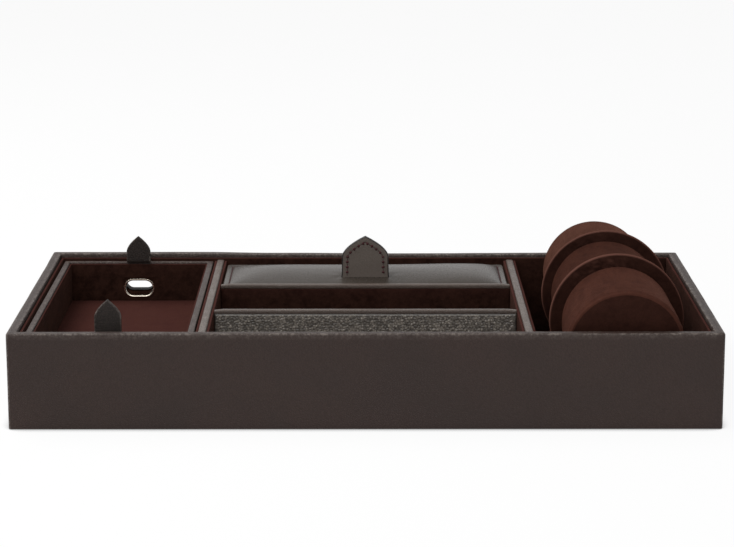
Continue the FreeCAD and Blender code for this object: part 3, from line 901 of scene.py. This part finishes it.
# height of the padding over the margin, from the simulated skin
def lidCrown(low, high):
    margin = lidSettings["margin"]
    columns, rows = lidSettings["skinGrid"]
    xs = np.linspace(low[0] + margin, high[0] - margin, columns)
    ys = np.linspace(low[1] + margin, high[1] - margin, rows)
    points = np.array([(x, y, 0) for x in xs for y in ys])
    held = insetOf(points, (xs[0], ys[0]), (xs[-1], ys[-1])) < 0.01
    blown = inflate(points, gridFaces(columns, rows, False, False), held, lidSettings["pressure"])
    heights = np.abs(blown[:, 2]).reshape(columns, rows)
    print("lid skin rises", round(float(heights.max()), 2))
    return xs, ys, heights


def sampled(xs, ys, heights, x, y):
    i = np.clip((x - xs[0]) / (xs[1] - xs[0]), 0, len(xs) - 1.001)
    j = np.clip((y - ys[0]) / (ys[1] - ys[0]), 0, len(ys) - 1.001)
    i0, j0 = i.astype(int), j.astype(int)
    u, v = i - i0, j - j0
    return ((1 - u) * (1 - v) * heights[i0, j0] + u * (1 - v) * heights[i0 + 1, j0]
            + (1 - u) * v * heights[i0, j0 + 1] + u * v * heights[i0 + 1, j0 + 1])


# padding, stuffed fuller at its right end, with the sewn groove round it
def lidRise(points, low, high, inside):
    look = lidSettings
    xs, ys, heights = lidCrown(low, high)
    x, y = points[:, 0], points[:, 1]
    rise = sampled(xs, ys, heights, x, y)
    left, right = [(1 - np.exp(-rise / level)) / (1 - math.exp(-heights.max() / level))
                   for level in (look["plateau"], look["fullPlateau"])]
    fuller = smoothStep(x, *look["fullFrom"])
    rise = look["crown"] * (left * (1 - fuller) + right * fuller) * (inside > 0)
    rise -= look["groove"] * np.exp(-(inside / look["grooveWidth"]) ** 2)
    rise += field(points, look["slackSize"], look["slackSeed"]) * look["slack"] * smoothStep(inside, 0.5, 6)
    # drawn down at the tab's slit, puckered at the slit's two ends
    reachX, tabY = span("lid_tab_front_ply")[1][:2]
    fromSlit = np.hypot(np.maximum(np.abs(x) - reachX, 0), y - tabY)
    rise -= look["pull"] * np.exp(-(fromSlit / look["pullReach"]) ** 2)
    for side in (-1, 1):
        dx, dy = side * x - reachX, y - tabY
        far, turn = np.hypot(dx, dy), np.arctan2(dy, dx)
        folds = np.cos(turn * 4.0 + side * 0.6) * np.clip(far / 1.5, 0, 1)
        rise += look["pucker"] * folds * np.exp(-(far / look["puckerReach"]) ** 2) * (dx > -2)
    return rise


def makeLid():
    look = lidSettings
    low, high = span("lid_cover")
    boardLow, boardHigh = span("lid_board")
    low[2], high[2] = boardLow[2], boardHigh[2] + look["overBoard"]
    bottom, top, edge, margin = low[2], high[2], look["edge"], look["margin"]
    lines = [lidLines(low[0], high[0]), lidLines(low[1], high[1])]
    lines.append(np.array([bottom, bottom + 0.4, bottom + edge, top - edge, top - 0.7, top - 0.3, top]))
    points, faces = roundedShell(lines, low, high, edge)
    inside = insetOf(points, low, high) - margin
    points[:, 2] += lidRise(points, low, high, inside) * smoothStep(points[:, 2], top - edge, top)
    # the outer edge gets the lighter colour: wear and a painted highlight
    wornAndLit = smoothStep(-inside, 2.2, 3.4) * 0.5
    lid = makePiece("lidLeather", points, faces, lidLeather, "smooth_leather", "lid",
                    ("lid_cover", "lid_pad", "lid_board", "lid_tab_root"), wornAndLit, smooth=50)
    (x0, y0), (x1, y1) = low[:2] + margin, high[:2] - margin
    outline = [(x, y, look["sewnRadius"]) for x, y in ((x0, y0), (x1, y0), (x1, y1), (x0, y1))]
    path = lifted(roundedPath(outline, longest=2.0), top - look["groove"] + look["sewnLift"])
    places, ways = along(path, look["pitch"], closed=True)
    up = np.tile((0.0, 0.0, 1.0), (len(places), 1))
    points, faces = stitches(places, ways, up, look["stitch"], look["thread"], look["proud"])
    makePiece("lidStitching", points, faces, thread, "thread", "lid")


print("lid")
makeLid()


# tabs
tabSettings = {
    "lid": {"skive": 0.0, "edgeWear": 0.0, "painted": 0.5, "shoulder": 0.43, "power": 1.85, "flare": 0.7,
            "round": 0.45, "inset": 3.1, "pitch": 2.9, "knot": 1.7, "knotThick": 1.55, "stitch": 1.9,
            "thread": 0.28, "groove": 0.18, "below": 3.6, "sewnFrom": -0.9, "curl": -2.0,
            "bend": (-1.5, 2.2)},
    "tray": {"skive": 0.6, "edgeWear": 1.0, "painted": 0.05, "power": 1.72, "flare": 0.0, "round": 0.35,
             "groove": 0.0, "thick": 1.8, "tip": 9.2, "below": 6.5, "tuck": 0.5, "curl": -3.0,
             "bend": (-1.4, 1.6)},
}


def halfWidth(v, look):
    height = look["height"]
    t = np.clip((v - look["shoulder"] * height) / (height * (1 - look["shoulder"])), 0, 1)
    flare = look["flare"] * np.exp(-np.maximum(v + look["below"], 0) / 2.0)
    return (look["width"] / 2 + flare) * (1 - t ** look["power"])


# heights from the foot to the tip, closer together at the tip
def tabHeights(look, count, power):
    low = -look["below"]
    return low + (look["height"] - low) * (1 - (1 - np.linspace(0, 1, count)) ** power)


def tabOutline(look):
    v = tabHeights(look, 400, 1.5)
    right = np.column_stack([halfWidth(v, look), v])
    return np.vstack([right, right[::-1][1:] * (-1, 1)])


def nearest(places, outline):
    tree = treeOf(outline)
    return np.array([tree.find((u, v, 0))[2] for u, v in places])


# lays (u, v) with a depth off the middle along a bent spine
def bentSheet(places, depth, spine):
    spineV, *others = spine
    y, z, turn = [np.interp(places[:, 1], spineV, values) for values in others]
    return np.column_stack([places[:, 0], y + depth * np.cos(turn), z + depth * np.sin(turn)])


def makeSpine(look):
    pivotY, pivotZ = look["pivot"][1:]
    v = np.linspace(-look["below"], look["height"], 200)
    turn = np.radians(look["curl"] * np.clip(v / look["height"], 0, 1) ** 2)
    step, middle = v[1] - v[0], (turn[1:] + turn[:-1]) / 2
    y = np.concatenate([[0], np.cumsum(-np.sin(middle) * step)])
    z = np.concatenate([[0], np.cumsum(np.cos(middle) * step)])
    return v, y - np.interp(0, v, y) + pivotY, z - np.interp(0, v, z) + pivotZ, turn


def bendAtFoot(piece, look):
    x, y, z = look["pivot"]
    start, end = [(x * mm, 0, (z + dz) * mm) for dz in look["bend"]]
    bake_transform(piece)


def makeTab(name, look, spine, finish, slotName, stands):
    rows = int((look["height"] + look["below"]) / 0.5)
    v = tabHeights(look, rows, 1.35)
    s = np.sin(np.linspace(-1, 1, 31) * math.pi / 2)
    places = np.array([(wi * sj, vi) for vi, wi in zip(v, halfWidth(v, look)) for sj in s])
    inside = nearest(places, tabOutline(look))
    inside[np.tile(np.abs(s) > 0.9999, rows)] = 0
    bend, half = look["round"], look["thick"] / 2
    shell = half - bend + bend * np.sqrt(1 - (1 - np.clip(inside / bend, 0, 1)) ** 2)
    shell *= 1 - look["skive"] * smoothStep(-places[:, 1], 0.3, 2.0)
    if look["groove"]:
        sunk = np.exp(-((inside - look["inset"]) / 0.42) ** 2) * smoothStep(places[:, 1], 0.2, 1.5)
        shell -= look["groove"] * sunk
    wavy = field(lifted(places), 7.0, len(name)) * 0.12    # each tab waves its own way
    columns, count = len(s), len(places)
    # both sides, and the middle of the edge between them
    rim = [i * columns for i in range(rows)] + [(i + 1) * columns - 1 for i in range(rows - 1, -1, -1)]
    seam = places[rim] * (1 - 0.22 / np.maximum(np.linalg.norm(places[rim], axis=1, keepdims=True), 1))
    sheets = [(places, wavy - shell), (places, wavy + shell), (seam, wavy[rim])]
    points = np.vstack([bentSheet(some, depth, spine) for some, depth in sheets]) + (look["pivot"][0], 0, 0)
    faces = twoSheets(rows, columns)
    for k, (a, b) in enumerate(zip(rim, rim[1:]), 2 * count):
        faces += [(a, b, k + 1, k), (k, k + 1, count + b, count + a)]
    faces.append(tuple(range(columns)) + tuple(range(count + columns - 1, count - 1, -1)))
    onRim = np.zeros(len(rim))
    # edges get the lighter colour: wear and a painted highlight along the outline
    scuffedAndLit = look["edgeWear"] * (1 - smoothStep(inside, 0.2, 1.0))
    tab = makePiece(name, points, faces, finish, slotName, stands=stands,
                    wornAndLit=np.concatenate([scuffedAndLit, scuffedAndLit, onRim]), smooth=50)
    tab.data.materials.append(edgePaint)
    near = np.concatenate([inside, inside, onRim])
    for face in tab.data.polygons:
        face.material_index = int(near[list(face.vertices)].mean() < look["painted"])
    work = bmesh.new()
    work.from_mesh(tab.data)
    bmesh.ops.remove_doubles(work, verts=work.verts, dist=0.00001)
    work.to_mesh(tab.data)
    work.free()
    bendAtFoot(tab, look)


# line of the sewing, inside the tab's edge
def sewnLine(look):
    outline, inset = tabOutline(look), look["inset"]
    way = np.gradient(outline, axis=0)
    way /= np.maximum(np.linalg.norm(way, axis=1, keepdims=True), 1e-9)
    inner = outline + np.column_stack([-way[:, 1], way[:, 0]]) * inset
    return lifted(inner[(nearest(inner, outline) > inset * 0.985) & (inner[:, 1] > look["sewnFrom"])])


def lidTab():
    low, high = span("lid_tab_front_ply")
    thick = span("lid_tab_back_ply")[1][1] - low[1]
    foot = low[2] + thick / 2
    look = dict(tabSettings["lid"], width=high[0] - low[0], height=high[2] - foot, thick=thick,
                pivot=(0, high[1], foot))
    spine, bodies = makeSpine(look), ("lid", "lid_tab")
    makeTab("lidTab", look, spine, tabPaintedLightLeather, "smooth_leather",
            ("lid_tab_front_ply", "lid_tab_back_ply"))
    line = sewnLine(look)
    parts = []
    # dark knots at the holes, thin thread from hole to hole
    for shift, length, fat in ((0.5, look["knot"], look["knotThick"]), (1.0, look["stitch"], look["thread"])):
        places, ways = along(line, look["pitch"], shift=shift)
        for side in (-1, 1):
            depth = side * (thick / 2 - look["groove"] * 0.55)
            spots = bentSheet(places, depth, spine)
            runs = bentSheet(places + ways * 0.1, depth, spine) - spots
            runs /= np.linalg.norm(runs, axis=1, keepdims=True)
            normals = np.tile((0.0, float(side), 0.0), (len(places), 1))
            parts.append(stitches(spots, runs, normals, length, fat, 0.2, seed=3))
    sewing = makePiece("lidTabStitching", *joined(parts), thread, "thread", stands=("lid_tab_thread",))
    bendAtFoot(sewing, look)


# a tray tab's node and body have the same name
def trayTab(name, node):
    joint = next(j for j in frame["joints"] if j["child"] == node)
    x, y, z = np.array(joint["pos_m"]) / mm
    low, high = span(node)
    look, height = tabSettings["tray"], high[2] - z
    look = dict(look, width=high[0] - low[0], height=height, shoulder=1 - look["tip"] / height,
                pivot=(x, y, z))
    v, bentY, bentZ, turn = makeSpine(look)
    facing = 1 if y > 0 else -1    # the wall that holds the root
    bentY = bentY + facing * look["tuck"] * smoothStep(-v, 0.3, 2.0)
    makeTab(name, look, (v, bentY, bentZ, turn), darkLeather, "dark_leather",
            (node, "tray_tab_roots"))


print("tabs")
lidTab()
trayTab("frontTrayTab", "front_tab")
trayTab("rearTrayTab", "rear_tab")


# metal sleeves round the cable ports
portSettings = {
    "tray": {"wall": 0.5, "flange": 1.05, "flangeThick": 1.1, "roll": 0.6, "rim": 0.16, "front": True},
    "case": {"wall": 0.5, "flange": 1.0, "flangeThick": 0.6, "roll": 0.3, "rim": 0.2, "front": False},
}


def portSleeve(name, node, look, bodyName, finish):
    low, high = span(node)
    middle, half = (low + high) / 2, (high - low) / 2
    flange, wall, turns = look["flange"], look["wall"], 96
    lip, far = (low[1], high[1]) if look["front"] else (high[1], low[1])
    behind = lip + look["flangeThick"] * (1 if look["front"] else -1)
    corners = [(0, lip, look["roll"]), (flange, lip, look["rim"]), (flange, behind, 0.15), (wall, behind, 0),
               (wall, far, 0.1), (0, far, 0.1)]
    profile = roundedPath(corners, arcSteps=6, longest=1.0)
    points = []
    for out, y in profile:
        loop = slotLoop(half[0] - flange + out, half[2] - flange + out, turns) + middle[[0, 2]]
        points += [(x, y, z) for x, z in loop]
    makePiece(name, points, gridFaces(len(profile), turns), finish, "nickel", bodyName, (node,), smooth=60)


print("port sleeves")
portSleeve("trayPortSleeve", "tray_port_sleeve", portSettings["tray"], "phone_tray", nickel)
# the case's sleeve takes the darkened nickel: painted shade
portSleeve("casePortSleeve", "case_port_sleeve", portSettings["case"], "case", nickelPaintedShade)


# watch roll
rollSettings = {
    "turns": 144, "crease": 29.5, "openFront": 27.9, "openBack": 29.0, "bulge": 0.6, "pressure": 60.0,
    "inner": 19.0, "endRound": 0.6, "slack": 0.16, "slackSize": 15.0, "seam": 0.45,
    "drift": (-1.4, 0.9), "driftFrom": -20.0, "pressed": (0.080, 0.021, -0.90), "pressedFrom": 36.0,
    "flangeTurns": 192, "flangeRound": 0.95, "pucker": 0.25, "backTrim": 0.6,
    "pinch": 1.4, "pinchAngle": 106.0, "pinchReach": 42.0, "pinchWear": 0.4,
    "discRise": 0.25, "discWave": 0.16,
}
sleeves = [    # piece, CAD node, finish, open at the front, open at the back, seed
    ("rollFrontSleeve", "roll_front_sleeve", rollSuede, True, False, 3.0),
    # the middle sleeve gets painted shade, the back sleeve painted light
    ("rollMiddleSleeve", "roll_middle_sleeve", rollPaintedShadeSuede, False, False, 9.0),
    ("rollBackSleeve", "roll_back_sleeve", rollPaintedLightSuede, False, True, 15.0),
]


def rollAxis():
    low, high = span("roll_core")
    return np.array(((low[0] + high[0]) / 2, 0, (low[2] + high[2]) / 2))


# profile (radius, y) turned about the roll's axis, with each point's arm, radius and angle
def turnedRoll(profile, turns):
    angles = [2 * math.pi * k / turns for k in range(turns)]
    arms = np.array([(r * math.cos(a), y, r * math.sin(a)) for a in angles for r, y in profile])
    points, faces = arms + rollAxis(), gridFaces(turns, len(profile))
    return points, faces, arms, np.hypot(arms[:, 0], arms[:, 2]), np.arctan2(arms[:, 2], arms[:, 0])


def grown(points, arms, share):
    return points + arms * (1, 0, 1) * share[:, None]


# the roll wanders a little towards its back end and is pressed wider at its front end
def drifted(points):
    look = rollSettings
    share = smoothStep(points[:, 1], look["driftFrom"], 95)
    across, up = look["drift"]
    pressed = smoothStep(-points[:, 1], look["pressedFrom"], 88)
    wider, taller, aside = look["pressed"]
    arms, moved = points - rollAxis(), points.copy()
    moved[:, 0] += share * across + pressed * (arms[:, 0] * wider + aside)
    moved[:, 2] += share * up + pressed * arms[:, 2] * taller
    return moved


# (radius, y) loop; the outer line comes first
def sleeveProfile(start, end, frontOpen, backOpen):
    look = rollSettings
    bend, inner = look["endRound"], look["inner"]
    first = (look["openFront"], start, bend) if frontOpen else (look["crease"], start, 0.5)
    last = (look["openBack"], end, bend) if backOpen else (look["crease"], end, 0.5)
    return roundedPath([first, last, (inner, end, 0), (inner, start, 0)], arcSteps=6, longest=2.4)


def makeSleeve(name, node, finish, frontOpen, backOpen, seed):
    look = rollSettings
    low, high = span(node)
    profile = sleeveProfile(low[1], high[1], frontOpen, backOpen)
    points, faces, arms, radius, angle = turnedRoll(profile, look["turns"])
    ends = np.minimum(points[:, 1] - low[1], high[1] - points[:, 1])
    held = (radius < look["crease"] - 4) | (ends < 0.3)
    blown = inflate(points, faces, held, look["pressure"]) - points
    out = np.clip((blown[:, 0] * arms[:, 0] + blown[:, 2] * arms[:, 2]) / radius, 0, None)
    print(name, "skin rises", round(float(out.max()), 2))
    skin = radius > look["crease"] - 3.4
    out = out / max(out.max(), 1e-6) * look["bulge"] * skin
    slack = field(points, look["slackSize"], seed) * look["slack"] * smoothStep(ends, 1, 8) * skin
    fromSeam = (angle + math.pi / 2) * radius    # it runs underneath
    seam = np.exp(-(fromSeam / 0.8) ** 2) * look["seam"] * skin * smoothStep(ends, 0.5, 2)
    points = drifted(grown(points, arms, (out + slack - seam) / radius))
    # open ends get the lighter colour: wear and a painted highlight on the rounded end
    wornAndLit = (1 - smoothStep(ends, 0.3, 1.5)) * skin * (frontOpen or backOpen) * 0.6
    piece = makePiece(name, points, faces, finish, "suede", "watch_roll", (node,), wornAndLit)


def makeFlange(name, node, seed, pinched, trim=0.0):
    look = rollSettings
    low, high = span(node)
    outer, inner, bend = (high[0] - low[0]) / 2 - trim, look["inner"], look["flangeRound"]
    corners = [(outer, low[1], bend), (outer, high[1], bend), (inner, high[1], 0), (inner, low[1], 0)]
    profile = roundedPath(corners, arcSteps=6, longest=1.2)
    points, faces, arms, radius, angle = turnedRoll(profile, look["flangeTurns"])
    side = np.where(points[:, 1] > (low[1] + high[1]) / 2, 1.0, -1.0)
    face = smoothStep(outer - radius, 0.2, 1.6)
    spots = np.column_stack([np.cos(angle) * 14, side * 5, np.sin(angle) * 14])
    nearRoll = 1 - smoothStep(radius, look["crease"] + 0.5, outer - 1.2)
    folds = field(spots, 1.5, seed) * look["pucker"] * face * nearRoll
    # the front face is bunched near its top
    turned = np.degrees(np.abs(angle - math.radians(look["pinchAngle"])))
    pinches = np.abs(field(np.column_stack([angle * 8, radius * 0.85, side]), 1.0, seed + 8))
    nearTop = 1 - smoothStep(turned, 8, look["pinchReach"])
    bunched = look["pinch"] * pinched * pinches * face * nearTop * (side < 0)
    points = grown(points, arms, field(spots, 9.0, seed + 4) * 0.004)
    points[:, 1] += side * (folds + bunched - 0.15)
    # rims and the bunched folds get the lighter colour: wear and a painted highlight
    wornAndLit = smoothStep(radius, outer - 0.9, outer - 0.15)
    wornAndLit = np.maximum(wornAndLit, np.clip(bunched * 2 / look["pinch"], 0, 1) * look["pinchWear"])
    makePiece(name, points, faces, flangeSuede, "suede", "watch_roll", (node,), wornAndLit, smooth=60)


def makeDiscs():
    look = rollSettings
    parts = []
    for low, high in sorted(solidsOf("roll_end_discs"), key=lambda box: box[0][1]):
        outer = (high[0] - low[0]) / 2
        facing = -1 if low[1] < 0 else 1
        face, back = (low[1], high[1]) if facing < 0 else (high[1], low[1])
        line = [(0.02, face), (0.6, face)] + [(r, face) for r in np.linspace(1.6, outer - 0.8, 22)]
        line += [(outer - 0.35, face - facing * 0.08), (outer - 0.08, face - facing * 0.3)]
        line += [(outer, face - facing * 0.65), (outer, back), (0.02, back)]
        points, faces, arms, radius, angle = turnedRoll(line, look["turns"])
        near = smoothStep(outer - radius, 0.5, 4) * (np.abs(points[:, 1] - face) < 0.5)
        points[:, 1] += facing * near * (look["discRise"] + field(points, 11.0, 8.0) * look["discWave"])
        parts.append((drifted(points), faces))
    makePiece("rollEndDiscs", *joined(parts), flangeSuede, "suede", "watch_roll", ("roll_end_discs",),
              smooth=50)


print("watch roll")
for sleeve in sleeves:
    makeSleeve(*sleeve)
makeFlange("rollFrontFlange", "roll_front_flange", 2.0, 1.0)
makeFlange("rollBackFlange", "roll_back_flange", 6.0, 0.4, rollSettings["backTrim"])
makeDiscs()


# cloth hinge of the lid
hingeSettings = {"thick": 0.45, "glue": 0.02, "step": 1.0, "rows": 96, "wave": 0.04, "waveSize": 6.0,
                 "seed": 44.0, "bend": 1.2}


def makeHingeCloth():
    look = hingeSettings
    low, high = span("hinge_cloth")
    leafLow, leafHigh = span("lid_hinge_leaf")
    half = look["thick"] / 2
    battenZ, lidZ = low[2] + half + look["glue"], leafHigh[2] - half - look["glue"]
    ys = np.arange(leafLow[1], high[1] + 0.01, look["step"])
    zs = lidZ + (battenZ - lidZ) * smoothStep(ys, leafHigh[1] - 1.5, leafHigh[1] + 1.5)
    xs = np.linspace(low[0], high[0], look["rows"])
    middle = np.array([(x, y, z) for x in xs for y, z in zip(ys, zs)])
    middle[:, 2] += field(middle, look["waveSize"], look["seed"]) * look["wave"]
    rim = gridRim(len(xs), len(ys))
    faces = twoSheets(len(xs), len(ys)) + wallFaces(rim, [i + len(middle) for i in rim])
    points = np.vstack([middle + (0, 0, half), middle - (0, 0, half)])
    piece = makePiece("hingeCloth", points, faces, hingeFabric, "hinge_cloth",
                      stands=("hinge_cloth", "lid_hinge_leaf"), smooth=50)
    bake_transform(piece)


print("hinge cloth")
makeHingeCloth()


# floor and studio light
lightSettings = {"ambient": 0.42, "floorShade": 0.08, "contact": 0.6, "contactReach": 0.012}
floorSettings = {"reach": 6.0, "under": 0.0002}
lamps = {    # place, size, power
    "overhead": ((-0.75, 0.15, 1.15), (1.4, 0.9), 17.0),
    "front": ((-0.1, -1.6, 1.1), (1.1, 0.7), 10.6),
}


# 1 where the camera, a reflection or a see-through part looks at it
def seenDirectly(shader):
    rays = shader.node("LightPath")
    total = rays["Is Camera Ray"] + rays["Is Glossy Ray"] + rays["Is Transmission Ray"]
    return rays.maths("MINIMUM", total, 1.0)


def makeWorld():
    world = bpy.data.worlds.new("studio")
    bpy.context.scene.world = world
    s = Shader("studio", world)
    strength = lightSettings["ambient"] + seenDirectly(s) * (1 - lightSettings["ambient"])
    s.node("OutputWorld", None, {"Surface": s.node("Background", None, {"Strength": strength})})


def makeFloor():
    s = Shader("paleFloor")
    pale = s.mix(s.noise(9, 3), (0.86, 0.86, 0.86), (0.90, 0.90, 0.90))
    matt = s.node("BsdfDiffuse", None, {"Color": pale})
    # the floor's glow is darkened by ambient occlusion near the case: a painted contact shadow
    near = s.node("AmbientOcclusion", None, {"Distance": lightSettings["contactReach"]})["AO"]
    clear = 1 - (1 - near.between(0.35, 0.75)) * lightSettings["contact"]
    glow = s.node("Emission", None, {"Color": (1, 1, 1, 1), "Strength": clear})
    share = seenDirectly(s) * (1 - lightSettings["floorShade"])
    s.node("OutputMaterial", None, {"Surface": s.node("MixShader", None, {0: share, 1: matt, 2: glow})})
    mesh = bpy.data.meshes.new("paleFloor")
    r = floorSettings["reach"]
    mesh.from_pydata([(-r, -r, 0), (r, -r, 0), (r, r, 0), (-r, r, 0)], [], [(0, 1, 2, 3)])
    mesh.materials.append(s.material)
    floor = addObject("paleFloor", mesh)
    floor.location.z = -floorSettings["under"]


def makeLamp(name, place, extent, power):
    data = bpy.data.lights.new(name, "AREA")
    data.shape = "RECTANGLE"
    data.size, data.size_y = extent
    data.energy = power
    lamp = addObject(name, data)
    lamp.location = place
    lamp.rotation_euler = (-Vector(place)).to_track_quat("-Z", "Y").to_euler()


print("stage")
makeWorld()
makeFloor()
for name, lamp in lamps.items():
    makeLamp(name, *lamp)
makeCamera()
bpy.context.scene.view_settings.view_transform = "Standard"
